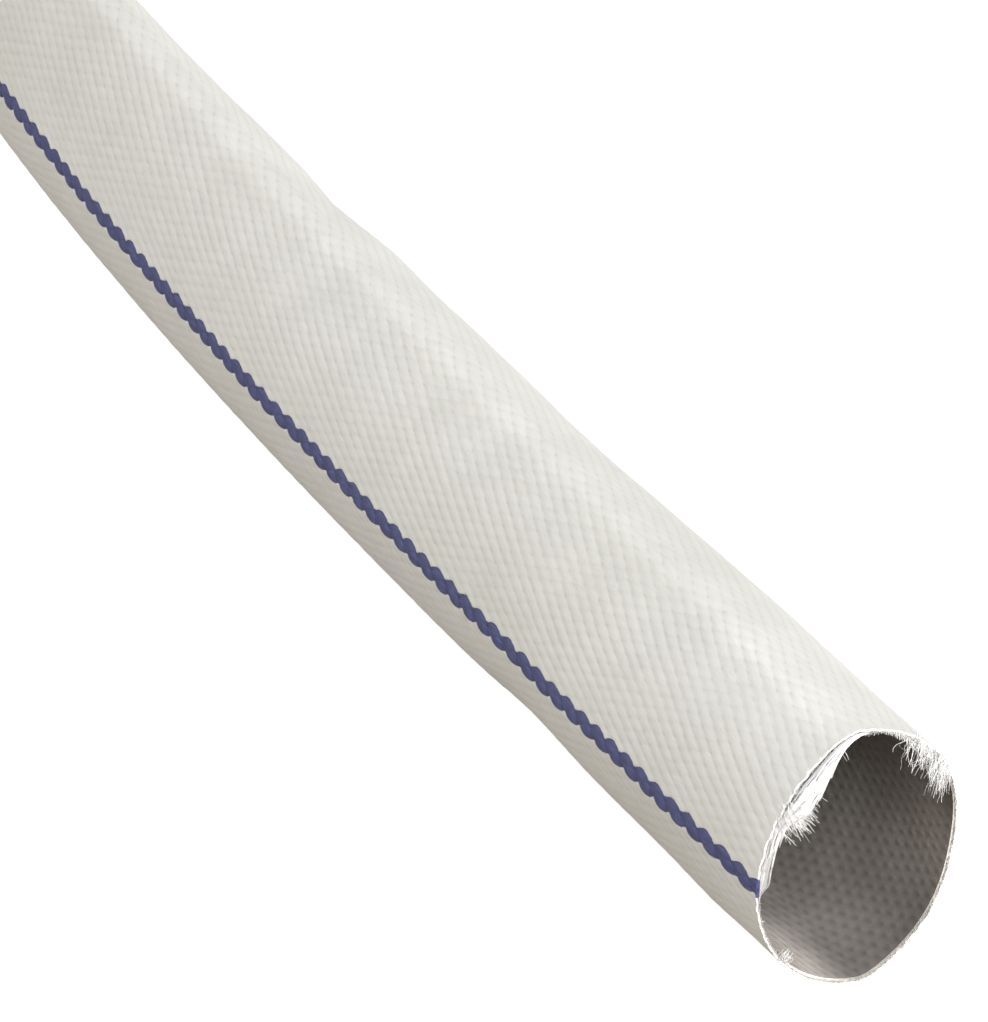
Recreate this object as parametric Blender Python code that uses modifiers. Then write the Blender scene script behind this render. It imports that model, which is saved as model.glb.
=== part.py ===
"""Lay-flat fire hose: a raw-cut free end, gaping round at its mouth and going flat where it leaves its roll.

Metres, +Z up. The hose stands on edge on z = 0, with its two creases at the top and the bottom. Its cut mouth
faces +X. The free end runs back from there, bends towards +Y and joins the outermost turn of the roll, which
lies flat, with its axis along Z. The roll is one solid with the true outline of the wound hose. The origin is
the bottom centre of the whole object's box.
"""

import math

import bmesh
import bpy
from mathutils import Vector

# The hose's wall and its section
BORE = 0.038
JACKET_WALL = 0.0012
FILM_GAP = 0.0002
LINING_WALL = 0.0006
WALL = JACKET_WALL + FILM_GAP + LINING_WALL
PERIMETER = math.pi * (BORE + 2 * WALL)
QUARTER = PERIMETER / 4

# How the section goes from gaping at the mouth to flat at the roll. A section is two broad side arcs, joined
# by a small arc at each crease. SIDE_ANGLE is half of a side arc's sweep: 90 degrees would be a full circle.
MOUTH_SIDE_ANGLE = 1.315
FLAT_SIDE_ANGLE = 0.01
FLATTENED_AT = 0.47
FLATTENING_POWER = 1.75
FLATTENING_SOFTNESS = 0.06
MOUTH_CREASE_RADIUS = 0.0057
FLAT_CREASE_RADIUS = 0.0021
CREASE_TIGHTENING = 0.0099
SIDE_SEGMENTS = 5
CREASE_SEGMENTS = 2

# The free end's route: its curvature at the mouth, how fast that grows, and where it bends in to the roll
FREE_LENGTH = 0.59
STATIONS = 40
MOUTH_CURVATURE = -0.275
CURVATURE_GROWTH = 3.7
BEND_STARTS_AT = 0.45
ROUTE_STEPS_PER_STATION = 20
CUT_SKEW = -0.085

# The roll
HOSE_LENGTH = 15.24
ROLL_TURNS = 25
ROLL_PITCH = 0.0049
ROLL_SIDES = 72
END_GAP = 0.0003

# The coloured pair of warp yarns, let into the jacket a little above the middle of its outer side
TRACER_AT = 0.269 * PERIMETER
TRACER_WIDTH = 0.0024
TRACER_DEPTH = 0.0005
TRACER_SIDE_GAP = 0.0002
TRACER_FLOOR_GAP = 0.0001

# The nylon ties that hold the roll
TIE_ANGLES = (50, 170, 290)
TIE_WIDTH = 0.0048
TIE_THICKNESS = 0.0013
TIE_GAP = 0.0003
TIE_STANDS_PROUD = 0.0006
TIE_CORNER = 0.003
TIE_CORNER_SEGMENTS = 4
TIE_HEAD = (0.0085, 0.0072, 0.0050)
TIE_HEAD_INSET = 0.022
TIE_HEAD_BEVEL = 0.0008

FLAT_HEIGHT = 2 * (QUARTER - FLAT_CREASE_RADIUS * (math.pi / 2 - 1))
RADIUS_SUM = (HOSE_LENGTH - FREE_LENGTH) / (math.pi * ROLL_TURNS)
ROLL_RADIUS = (RADIUS_SUM + ROLL_TURNS * ROLL_PITCH) / 2
CORE_RADIUS = (RADIUS_SUM - ROLL_TURNS * ROLL_PITCH) / 2
FLAT_HALF_THICKNESS = FLAT_CREASE_RADIUS + QUARTER * FLAT_SIDE_ANGLE / 2
TURN_RADIUS = ROLL_RADIUS - FLAT_HALF_THICKNESS


def clear_scene():
    for obj in list(bpy.data.objects):
        bpy.data.objects.remove(obj, do_unlink=True)


def make_collection(name, hidden=False):
    made = bpy.data.collections.new(name)
    made.hide_render = hidden
    bpy.context.scene.collection.children.link(made)
    return made


def make_material(name, color, roughness, metallic=0.0):
    made = bpy.data.materials.new(name)
    made.use_nodes = True
    shader = made.node_tree.nodes["Principled BSDF"]
    shader.inputs["Base Color"].default_value = (*color, 1.0)
    shader.inputs["Roughness"].default_value = roughness
    shader.inputs["Metallic"].default_value = metallic
    return made


def mesh_object(name, mesh_source, collection, material):
    """The bmesh as a smooth-shaded object with its normals facing out."""
    bmesh.ops.recalc_face_normals(mesh_source, faces=mesh_source.faces)
    mesh = bpy.data.meshes.new(name)
    mesh_source.to_mesh(mesh)
    mesh_source.free()
    mesh.shade_smooth()
    mesh.set_sharp_from_angle(angle=math.radians(40))
    mesh.materials.append(material)
    made = bpy.data.objects.new(name, mesh)
    collection.objects.link(made)
    return made


# ---------------------------------------------------------------- the free end's route and sections


def smooth_step(value, start, end):
    share = min(max((value - start) / (end - start), 0.0), 1.0)
    return share * share * (3 - 2 * share)


def curvature(along):
    """The route's curvature towards +Y at this distance from the mouth, ending in the roll's own."""
    free = MOUTH_CURVATURE + CURVATURE_GROWTH * along
    bend = smooth_step(along, BEND_STARTS_AT, FREE_LENGTH)
    return free * (1 - bend) + bend / TURN_RADIUS


def route(length):
    """(x, y, heading) at each station from the mouth, which is at x = y = 0 and faces +X."""
    steps = STATIONS * ROUTE_STEPS_PER_STATION
    step = length / steps
    x = y = heading = 0.0
    stations = [(x, y, heading)]
    for index in range(steps):
        middle = heading + curvature((index + 0.5) * step) * step / 2
        x -= math.cos(middle) * step
        y += math.sin(middle) * step
        heading += curvature((index + 0.5) * step) * step
        if (index + 1) % ROUTE_STEPS_PER_STATION == 0:
            stations.append((x, y, heading))
    return stations


class Section:
    """The hose's outline at one distance from the mouth, with one perimeter all the way along."""

    def __init__(self, along):
        drop = (along / FLATTENED_AT) ** FLATTENING_POWER
        falling = MOUTH_SIDE_ANGLE * (1 - drop)
        softened = (falling + math.hypot(falling, FLATTENING_SOFTNESS)) / 2
        self.angle = max(FLAT_SIDE_ANGLE, softened)
        self.crease = max(FLAT_CREASE_RADIUS, MOUTH_CREASE_RADIUS - CREASE_TIGHTENING * along)
        self.crease_length = self.crease * (math.pi / 2 - self.angle)
        self.side = (QUARTER - self.crease_length) / self.angle
        self.crease_height = (self.side - self.crease) * math.sin(self.angle)
        self.side_centre = (self.side - self.crease) * math.cos(self.angle)
        self.half_height = self.crease_height + self.crease

    def in_quarter(self, run, inset):
        """(outwards, up) at this run along the outline from a crease, with the crease at the top."""
        if run < self.crease_length:
            turn = math.pi / 2 - run / self.crease
            radius = self.crease - inset
            return radius * math.cos(turn), self.crease_height + radius * math.sin(turn)
        turn = self.angle - (run - self.crease_length) / self.side
        radius = self.side - inset
        return radius * math.cos(turn) - self.side_centre, radius * math.sin(turn)

    def point(self, run, inset):
        """(towards the roll's side, up from the floor), from the bottom crease up the outer side and round."""
        quarter = int(run // QUARTER) % 4
        rest = run - quarter * QUARTER
        if quarter in (1, 3):
            rest = QUARTER - rest
        across, up = self.in_quarter(rest, inset)
        if quarter in (0, 1):
            across = -across
        if quarter in (0, 3):
            up = -up
        return across, self.half_height + up

    def runs(self):
        """The places round the outline that have a vertex."""
        quarter = [self.crease_length * i / CREASE_SEGMENTS for i in range(CREASE_SEGMENTS)]
        side_length = QUARTER - self.crease_length
        quarter += [self.crease_length + side_length * i / SIDE_SEGMENTS for i in range(SIDE_SEGMENTS)]
        half = quarter + [2 * QUARTER - run for run in [QUARTER] + quarter[:0:-1]]
        return half + [run + 2 * QUARTER for run in half]


def place(station, along, across, up):
    """The world point of a section's point. Only the mouth's own section is cut askew."""
    x, y, heading = station
    skew = CUT_SKEW * across if along == 0 else 0.0
    return Vector((x + math.sin(heading) * across + skew, y + math.cos(heading) * across, up))


def make_tube(name, collection, material, length, outer_inset, inner_inset, groove_depth=0.0):
    """A hollow length of hose wall, open at both ends, with a groove for the tracer where it has a depth."""
    mesh = bmesh.new()
    stations = route(length)
    outer_rings = []
    inner_rings = []
    half_groove = TRACER_WIDTH / 2 + TRACER_SIDE_GAP
    for index, station in enumerate(stations):
        along = length * index / STATIONS
        section = Section(along)
        runs = section.runs()
        outer = [(run, outer_inset) for run in runs]
        middle = SIDE_SEGMENTS + CREASE_SEGMENTS
        if groove_depth:
            low, high = TRACER_AT - half_groove, TRACER_AT + half_groove
            outer[middle + 1 : middle + 1] = [
                (low, outer_inset),
                (low, groove_depth),
                (high, groove_depth),
                (high, outer_inset),
            ]
        outer_rings.append([mesh.verts.new(place(station, along, *section.point(*p))) for p in outer])
        inner_rings.append(
            [mesh.verts.new(place(station, along, *section.point(run, inner_inset))) for run in runs]
        )
    for rings in (outer_rings, inner_rings):
        for ring, following in zip(rings, rings[1:]):
            for i in range(len(ring)):
                mesh.faces.new((ring[i - 1], ring[i], following[i], following[i - 1]))
    extra = len(outer_rings[0]) - len(inner_rings[0])
    for outer, inner in ((outer_rings[0], inner_rings[0]), (outer_rings[-1], inner_rings[-1])):
        for i in range(len(inner)):
            if i < middle + 1:
                edge = [outer[i - 1], outer[i]]
            elif i == middle + 1:
                edge = outer[middle : middle + extra + 2]
            else:
                edge = [outer[i + extra - 1], outer[i + extra]]
            mesh.faces.new(edge + [inner[i], inner[i - 1]])
    return mesh_object(name, mesh, collection, material)


# ---------------------------------------------------------------- the roll


def roll_frame():
    """The roll's centre, and the direction from it to the place where the free end joins."""
    x, y, heading = route(FREE_LENGTH)[-1]
    outwards = Vector((-math.sin(heading), -math.cos(heading), 0.0))
    centre = Vector((x, y, 0.0)) - outwards * TURN_RADIUS
    return centre, outwards


def roll_point(turn_angle, radius, up):
    """The world point at this angle on from the joint, the way that the hose winds."""
    centre, outwards = roll_frame()
    onwards = Vector((outwards.y, -outwards.x, 0.0))
    spoke = outwards * math.cos(turn_angle) + onwards * math.sin(turn_angle)
    return centre + spoke * radius + Vector((0.0, 0.0, up))


def outer_radius(turn_angle):
    return ROLL_RADIUS - ROLL_PITCH * turn_angle / (2 * math.pi)


def tracer_height():
    """The height of the tracer's middle where the hose is flat."""
    return Section(FREE_LENGTH).point(TRACER_AT, 0.0)[1]


def make_roll(collection, material):
    """The wound hose: a thick ring with a step where the hose leaves it and one where it starts in the core."""
    mesh = bmesh.new()
    depth = TRACER_DEPTH + TRACER_FLOOR_GAP
    low = tracer_height() - TRACER_WIDTH / 2 - TRACER_SIDE_GAP
    high = tracer_height() + TRACER_WIDTH / 2 + TRACER_SIDE_GAP
    levels = ((0.0, 0.0), (low, 0.0), (low, depth), (high, depth), (high, 0.0), (FLAT_HEIGHT, 0.0))
    angles = [2 * math.pi * i / ROLL_SIDES for i in range(ROLL_SIDES + 1)]
    outer = [
        [mesh.verts.new(roll_point(a, outer_radius(a) - inset, up)) for a in angles] for up, inset in levels
    ]
    shrink = ROLL_RADIUS - CORE_RADIUS - ROLL_PITCH
    inner = [
        [mesh.verts.new(roll_point(a, outer_radius(a) - shrink, up)) for a in angles] for up in (0.0, FLAT_HEIGHT)
    ]
    for rings in (outer, inner):
        for ring, above in zip(rings, rings[1:]):
            for i in range(ROLL_SIDES + 1):
                mesh.faces.new((ring[i - 1], ring[i], above[i], above[i - 1]))
    last = ROLL_SIDES
    for rim, core in ((outer[0], inner[0]), (outer[-1], inner[-1])):
        mesh.faces.new((core[0], rim[last], rim[0], rim[1], core[1]))
        for i in range(1, last - 1):
            mesh.faces.new((core[i], rim[i], rim[i + 1], core[i + 1]))
        mesh.faces.new((core[last - 1], rim[last - 1], rim[last], core[0], core[last]))
    return mesh_object("hose_roll", mesh, collection, material)


def make_tracer(collection, material):
    """The two coloured yarns as one flat strand, from the mouth along the free end and round the roll."""
    mesh = bmesh.new()
    edges = ((-TRACER_WIDTH / 2, 0.0), (TRACER_WIDTH / 2, 0.0))
    edges += ((TRACER_WIDTH / 2, TRACER_DEPTH), (-TRACER_WIDTH / 2, TRACER_DEPTH))
    rings = []
    length = FREE_LENGTH - END_GAP
    for index, station in enumerate(route(length)):
        along = length * index / STATIONS
        section = Section(along)
        ring = [place(station, along, *section.point(TRACER_AT + up, inset)) for up, inset in edges]
        rings.append([mesh.verts.new(point) for point in ring])
    for i in range(ROLL_SIDES - 1):
        angle = 2 * math.pi * i / ROLL_SIDES
        ring = [roll_point(angle, outer_radius(angle) - inset, tracer_height() + up) for up, inset in edges]
        rings.append([mesh.verts.new(point) for point in ring])
    for ring, following in zip(rings, rings[1:]):
        for i in range(4):
            mesh.faces.new((ring[i - 1], ring[i], following[i], following[i - 1]))
    mesh.faces.new(rings[0])
    mesh.faces.new(rings[-1])
    return mesh_object("tracer_yarns", mesh, collection, material)


# ---------------------------------------------------------------- the ties


def rounded_rectangle(low, high, corner):
    """(across, up) points of a rectangle from low to high with round corners."""
    points = []
    centres = (
        (high[0] - corner, high[1] - corner, 0),
        (low[0] + corner, high[1] - corner, 1),
        (low[0] + corner, low[1] + corner, 2),
        (high[0] - corner, low[1] + corner, 3),
    )
    for across, up, quarter in centres:
        for i in range(TIE_CORNER_SEGMENTS + 1):
            turn = math.pi / 2 * (quarter + i / TIE_CORNER_SEGMENTS)
            points.append((across + corner * math.cos(turn), up + corner * math.sin(turn)))
    return points


def make_frame(name, collection, material, angle, outer, inner, width):
    """A flat frame between two (low, high, corner) rectangles, standing on a spoke of the roll."""
    curve = bpy.data.curves.new(name, "CURVE")
    curve.dimensions = "2D"
    curve.fill_mode = "BOTH"
    curve.extrude = width / 2
    for rectangle in (outer, inner):
        points = rounded_rectangle(*rectangle)
        spline = curve.splines.new("POLY")
        spline.points.add(len(points) - 1)
        spline.use_cyclic_u = True
        for point, (across, up) in zip(spline.points, points):
            point.co = (across, up, 0.0, 1.0)
    curve_object = bpy.data.objects.new(name + "_outline", curve)
    collection.objects.link(curve_object)
    bpy.context.view_layer.update()
    graph = bpy.context.evaluated_depsgraph_get()
    mesh = bpy.data.meshes.new_from_object(curve_object.evaluated_get(graph))
    bpy.data.objects.remove(curve_object, do_unlink=True)
    welded = bmesh.new()
    welded.from_mesh(mesh)
    bpy.data.meshes.remove(mesh)
    bmesh.ops.remove_doubles(welded, verts=welded.verts, dist=1e-6)
    made = mesh_object(name, welded, collection, material)
    centre = roll_point(angle, 0.0, 0.0)
    spoke = roll_point(angle, 1.0, 0.0) - centre
    made.location = centre
    made.rotation_euler = (math.pi / 2, 0.0, math.atan2(spoke.y, spoke.x))
    return made


def make_tie(number, collection, cutters, materials, roll):
    """One nylon tie round the roll's section, its head on top, and the groove that it presses in the hose."""
    angle = math.radians(TIE_ANGLES[number - 1])
    share = angle / (2 * math.pi)
    core = CORE_RADIUS + ROLL_PITCH * (1 - share)
    rim = outer_radius(angle)
    top = FLAT_HEIGHT + TIE_STANDS_PROUD
    name = f"cable_tie_{number}"
    tie = make_frame(
        name,
        collection,
        materials["nylon"],
        angle,
        (
            (core - TIE_GAP - TIE_THICKNESS, TIE_GAP / 2),
            (rim + TIE_GAP + TIE_THICKNESS, top),
            TIE_CORNER,
        ),
        (
            (core - TIE_GAP, TIE_GAP / 2 + TIE_THICKNESS),
            (rim + TIE_GAP, top - TIE_THICKNESS),
            TIE_CORNER - TIE_THICKNESS,
        ),
        TIE_WIDTH,
    )
    groove = make_frame(
        name + "_groove",
        cutters,
        materials["nylon"],
        angle,
        ((core - 0.01, -0.01), (rim + 0.01, FLAT_HEIGHT + 0.01), TIE_CORNER),
        (
            (core - TIE_GAP / 2, TIE_THICKNESS + 1.5 * TIE_GAP),
            (rim + TIE_GAP / 2, top - TIE_THICKNESS - TIE_GAP),
            TIE_CORNER - TIE_THICKNESS - TIE_GAP,
        ),
        TIE_WIDTH + 2 * TIE_GAP,
    )
    groove.hide_render = True
    groove.display_type = "WIRE"
    cut = roll.modifiers.new(f"groove_{number}", "BOOLEAN")
    cut.operation = "DIFFERENCE"
    cut.object = groove

    bpy.ops.mesh.primitive_cube_add(size=1.0)
    head = bpy.context.active_object
    head.name = name + "_head"
    head.data.transform(head.matrix_basis.Diagonal((*TIE_HEAD, 1.0)))
    for other in list(head.users_collection):
        other.objects.unlink(head)
    cutters.objects.link(head)
    head.location = roll_point(angle, rim - TIE_HEAD_INSET, FLAT_HEIGHT + TIE_GAP + TIE_HEAD[2] / 2)
    head.rotation_euler = (0.0, 0.0, tie.rotation_euler.z)
    head.hide_render = True
    head.display_type = "WIRE"
    rounding = head.modifiers.new("rounding", "BEVEL")
    rounding.width = TIE_HEAD_BEVEL
    rounding.segments = 2
    join = tie.modifiers.new("head", "BOOLEAN")
    join.operation = "UNION"
    join.object = head
    return tie, groove, head


# ---------------------------------------------------------------- the whole object


def centre_on_origin(objects):
    """Parents everything to an empty that puts the bottom centre of the whole box at the origin."""
    bpy.context.view_layer.update()
    graph = bpy.context.evaluated_depsgraph_get()
    corners = []
    for obj in objects:
        evaluated = obj.evaluated_get(graph)
        corners += [evaluated.matrix_world @ vertex.co for vertex in evaluated.data.vertices]
    middle = [(min(c[axis] for c in corners) + max(c[axis] for c in corners)) / 2 for axis in range(2)]
    origin = bpy.data.objects.new("fire_hose_origin", None)
    origin.location = (-middle[0], -middle[1], 0.0)
    return origin


def main():
    clear_scene()
    parts = make_collection("fire_hose")
    cutters = make_collection("fire_hose_cutters", hidden=True)
    materials = {
        "polyester": make_material("woven_polyester", (0.68, 0.67, 0.63), 0.85),
        "blue": make_material("blue_yarn", (0.06, 0.08, 0.22), 0.8),
        "rubber": make_material("lining_rubber", (0.13, 0.12, 0.11), 0.6),
        "nylon": make_material("nylon", (0.72, 0.70, 0.64), 0.35),
    }
    tube_length = FREE_LENGTH - END_GAP
    groove_depth = TRACER_DEPTH + TRACER_FLOOR_GAP
    jacket = make_tube(
        "woven_jacket", parts, materials["polyester"], tube_length, 0.0, JACKET_WALL, groove_depth
    )
    lining = make_tube(
        "inner_lining", parts, materials["rubber"], tube_length, JACKET_WALL + FILM_GAP, WALL
    )
    tracer = make_tracer(parts, materials["blue"])
    roll = make_roll(parts, materials["polyester"])
    pieces = [jacket, lining, tracer, roll]
    helpers = []
    for number in range(1, len(TIE_ANGLES) + 1):
        tie, groove, head = make_tie(number, parts, cutters, materials, roll)
        pieces.append(tie)
        helpers += [groove, head]
    origin = centre_on_origin(pieces)
    parts.objects.link(origin)
    for obj in pieces + helpers:
        obj.parent = origin


main()
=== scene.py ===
"""The looks of a lay-flat fire hose: woven jacket, tracer yarns, lining, frayed mouth, wound roll and ties.

Metres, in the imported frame. Distances "along" run from the cut mouth, "run" goes round the outline from the
bottom crease up the outer side, and "outwards" is the height above the hose's outline.
"""

import math

import bmesh
import bpy
import numpy as np
from mathutils import Matrix, Vector


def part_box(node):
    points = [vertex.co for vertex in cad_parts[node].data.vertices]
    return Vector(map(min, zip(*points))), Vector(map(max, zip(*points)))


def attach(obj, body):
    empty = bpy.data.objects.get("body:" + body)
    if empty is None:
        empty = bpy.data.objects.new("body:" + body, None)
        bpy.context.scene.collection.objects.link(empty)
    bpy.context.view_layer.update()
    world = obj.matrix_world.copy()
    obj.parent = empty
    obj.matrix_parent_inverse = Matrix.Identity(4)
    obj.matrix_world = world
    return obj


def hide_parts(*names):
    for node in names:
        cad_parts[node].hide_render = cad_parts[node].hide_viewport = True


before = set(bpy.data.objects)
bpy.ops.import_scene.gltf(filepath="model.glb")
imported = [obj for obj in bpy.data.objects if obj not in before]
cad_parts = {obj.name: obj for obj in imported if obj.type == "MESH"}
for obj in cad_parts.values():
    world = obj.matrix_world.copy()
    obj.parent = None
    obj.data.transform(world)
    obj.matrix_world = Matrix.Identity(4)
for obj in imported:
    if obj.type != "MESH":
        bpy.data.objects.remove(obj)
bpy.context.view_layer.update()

PI = math.pi

# ---- the hose, as in part.py

BORE = 0.038
JACKET_WALL = 0.0012
FILM_GAP = 0.0002
LINING_WALL = 0.0006
WALL = JACKET_WALL + FILM_GAP + LINING_WALL
PERIMETER = PI * (BORE + 2 * WALL)
QUARTER = PERIMETER / 4

MOUTH_SIDE_ANGLE = 1.315
FLAT_SIDE_ANGLE = 0.01
FLATTENED_AT = 0.47
FLATTENING_POWER = 1.75
FLATTENING_SOFTNESS = 0.06
MOUTH_CREASE_RADIUS = 0.0057
FLAT_CREASE_RADIUS = 0.0021
CREASE_TIGHTENING = 0.0099

FREE_LENGTH = 0.59
MOUTH_CURVATURE = -0.275
CURVATURE_GROWTH = 3.7
BEND_STARTS_AT = 0.45
CUT_SKEW = -0.085
SKEW_FADES_AT = FREE_LENGTH / 40

HOSE_LENGTH = 15.24
ROLL_TURNS = 25
ROLL_PITCH = 0.0049
ROLL_SIDES = 72

TRACER_AT = 0.269 * PERIMETER

TIE_ANGLES = (50, 170, 290)
TIE_WIDTH = 0.0048
TIE_THICKNESS = 0.0013
TIE_GAP = 0.0003
TIE_STANDS_PROUD = 0.0006
TIE_CORNER = 0.003
TIE_HEAD = (0.0085, 0.0072, 0.0050)
TIE_HEAD_INSET = 0.022

FLAT_HEIGHT = 2 * (QUARTER - FLAT_CREASE_RADIUS * (PI / 2 - 1))
RADIUS_SUM = (HOSE_LENGTH - FREE_LENGTH) / (PI * ROLL_TURNS)
ROLL_RADIUS = (RADIUS_SUM + ROLL_TURNS * ROLL_PITCH) / 2
CORE_RADIUS = (RADIUS_SUM - ROLL_TURNS * ROLL_PITCH) / 2
FLAT_HALF_THICKNESS = FLAT_CREASE_RADIUS + QUARTER * FLAT_SIDE_ANGLE / 2
TURN_RADIUS = ROLL_RADIUS - FLAT_HALF_THICKNESS

# ---- the cloth

# (run, height, reach, share left at the cut) of the old fold's ridge and of a softer corner by the tracer.
RIDGE = (0.480 * PERIMETER, 0.0013, 0.0038, 0.42)
CORNER = (0.260 * PERIMETER, 0.0008, 0.0045, 0.3)
RIDGE_ROUNDING = 0.0006
RIDGES_GROWN_AT = 0.03
RIDGES_FADE = (0.36, 0.46)

# (along, share of the way round, height, half length, half width as a share) of each kink.
KINKS = (
    (0.189, 0.62, -0.0007, 0.009, 0.09),
    (0.168, 0.62, 0.0005, 0.007, 0.09),
    (0.103, 0.63, -0.0007, 0.020, 0.09),
    (0.078, 0.13, -0.0008, 0.015, 0.09),
    (0.020, 0.13, 0.0004, 0.010, 0.06),
    (0.0, 0.79, -0.0009, 0.02, 0.07),
)

# (height, wavelength along, phase, times round) of the soft waves, which fade out towards the roll.
WAVES = (
    (0.00010, 0.087, 0.21, 1),
    (0.00007, 0.053, 0.6, -2),
    (0.00004, 0.019, 0.0, 3),
)
WAVES_FADE = 0.05

WARP_ENDS = 122
END_WIDTH = PERIMETER / WARP_ENDS
PICK = 0.00238

# How far the cloth sinks between its floats, along the weave's two diagonals.
FIRST_GROOVE = 0.000082
SECOND_GROOVE = 0.00009
GROOVE_POWER = 3.5
MEAN_HEIGHT = -0.4 * SECOND_GROOVE
FLOAT_SPREAD = 0.00002
PIT_DEPTH = 0.00004
PIT_SPREAD = 0.22
TRACER_BED = 0.00075

# The back, past the ridge, is worn smoother: its relief fades between these shares of the way round.
BACK_SMOOTHED = 0.80
BACK_STARTS = (0.478, 0.515)
BACK_ENDS = (0.70, 0.78)

# The wall's depths, and what they are crushed to at the cut.
DEPTHS = (-0.01, 0.0003, JACKET_WALL, JACKET_WALL + FILM_GAP, WALL, 0.03)
WALL_AT_CUT = 0.00078
DEPTHS_AT_CUT = (-0.01, 0.0003, 0.00042, 0.00045, WALL_AT_CUT, 0.028 + WALL_AT_CUT)
THINNED_LENGTH = 0.030

COLUMNS_PER_END = 4
ROWS_PER_PICK = 4
WOVEN_LENGTH = 0.40
WOVEN_FADE = 0.02

# (depth, how far forward) of the rows of points on the jacket's cut face, and how far back the edge frays.
CUT_ROWS = ((0.0004, 0.00008), (0.00075, 0.00007), (0.00105, 0.00002))
CUT_FRAYS = 0.0024

LINING_INSET = 0.0003
PRINTED_LENGTH = 0.11
PRINTED_FADE = 0.02

# ---- the camera, whose aim is counted from the mouth

CAMERA_AZIMUTH = math.radians(62.877)
CAMERA_ELEVATION = math.radians(32.992)
CAMERA_ROLL = -0.0592
CAMERA_DISTANCE = 1.4153
CAMERA_LENS = 302.4
CAMERA_AIM = Vector((-0.1212, 0.0025, 0.02))

# ---- the lights: name, place, target, size and watts

LIGHTS = (
    ("overhead", (0.00, 0.55, 1.60), (0.05, -0.12, 0.00), 1.0, 7.6),
    ("back", (0.05, 1.60, 1.00), (0.05, -0.12, 0.00), 1.0, 7.3),
    ("side", (-0.65, -1.65, 0.50), (0.00, -0.16, 0.02), 1.1, 20.5),
    ("mouth", (1.70, -0.10, 0.50), (0.30, -0.16, 0.02), 0.5, 32.0),
    ("mouth_low", (1.75, 0.10, 0.15), (0.30, -0.16, 0.02), 0.5, 15.0),
)


# ---- route and section


def smooth_step(value, start, end):
    """0 up to the start, 1 from the end on, and a smooth rise between them."""
    share = np.clip((value - start) / (end - start), 0.0, 1.0)
    return share * share * (3 - 2 * share)


def route_table():
    """Distance along, x, y and heading at fine steps of the free end, with the mouth at x = y = 0."""
    steps = 2360
    step = FREE_LENGTH / steps
    middle = (np.arange(steps) + 0.5) * step
    bend = smooth_step(middle, BEND_STARTS_AT, FREE_LENGTH)
    free = MOUTH_CURVATURE + CURVATURE_GROWTH * middle
    turn = (free * (1 - bend) + bend / TURN_RADIUS) * step
    heading = np.concatenate(([0.0], np.cumsum(turn)))
    between = heading[:-1] + turn / 2
    x = np.concatenate(([0.0], np.cumsum(-np.cos(between) * step)))
    y = np.concatenate(([0.0], np.cumsum(np.sin(between) * step)))
    return np.arange(steps + 1) * step, x, y, heading


def section(along):
    """The section's angle, crease radius and derived lengths at these distances from the mouth."""
    falling = MOUTH_SIDE_ANGLE * (1 - (np.maximum(along, 0.0) / FLATTENED_AT) ** FLATTENING_POWER)
    angle = np.maximum(FLAT_SIDE_ANGLE, (falling + np.hypot(falling, FLATTENING_SOFTNESS)) / 2)
    crease = np.maximum(FLAT_CREASE_RADIUS, MOUTH_CREASE_RADIUS - CREASE_TIGHTENING * along)
    crease_length = crease * (PI / 2 - angle)
    side = (QUARTER - crease_length) / angle
    return angle, crease, crease_length, side


def outline(along, run, outwards):
    """(across, up, half height) of points on the section, with up counted from its middle."""
    angle, crease, crease_length, side = section(along)
    crease_height = (side - crease) * np.sin(angle)
    side_centre = (side - crease) * np.cos(angle)
    quarter = np.floor(run / QUARTER).astype(int) % 4
    rest = run % QUARTER
    rest = np.where(quarter % 2 == 1, QUARTER - rest, rest)
    on_crease = rest < crease_length
    turn = np.where(on_crease, PI / 2 - rest / crease, angle - (rest - crease_length) / side)
    radius = np.where(on_crease, crease, side) + outwards
    across = radius * np.cos(turn) - np.where(on_crease, 0.0, side_centre)
    up = radius * np.sin(turn) + np.where(on_crease, crease_height, 0.0)
    across = np.where(quarter < 2, -across, across)
    up = np.where((quarter == 0) | (quarter == 3), -up, up)
    return across, up, crease_height + crease


def long_ridge(along, run, place, height, reach, left_at_cut):
    """A soft ridge along the hose: lower at the cut, and gone where the hose lies flat."""
    away = (run - place + PERIMETER / 2) % PERIMETER - PERIMETER / 2
    crest = height * np.exp(-np.hypot(away, RIDGE_ROUNDING) / reach) * (1 - smooth_step(along, *RIDGES_FADE))
    return crest * (left_at_cut + (1 - left_at_cut) * smooth_step(along, 0.0, RIDGES_GROWN_AT))


def unevenness(along, run):
    """How far the cloth stands off its fair outline: soft waves off the floor, two ridges and the kinks."""
    round_share = run / PERIMETER
    waves = 0.0
    for height, length, phase, times in WAVES:
        waves = waves + height * np.sin(2 * PI * (along / length + phase + times * round_share))
    off_floor = 0.5 - 0.5 * np.cos(2 * PI * round_share)
    waves = waves * off_floor * smooth_step(FREE_LENGTH - along, 0.0, WAVES_FADE)
    bumps = long_ridge(along, run, *RIDGE) + long_ridge(along, run, *CORNER)
    for kink_along, kink_share, height, length, width in KINKS:
        away = ((along - kink_along) / length) ** 2 + ((round_share % 1.0 - kink_share) / width) ** 2
        bumps = bumps + height * np.exp(-away)
    return waves + bumps


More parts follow.
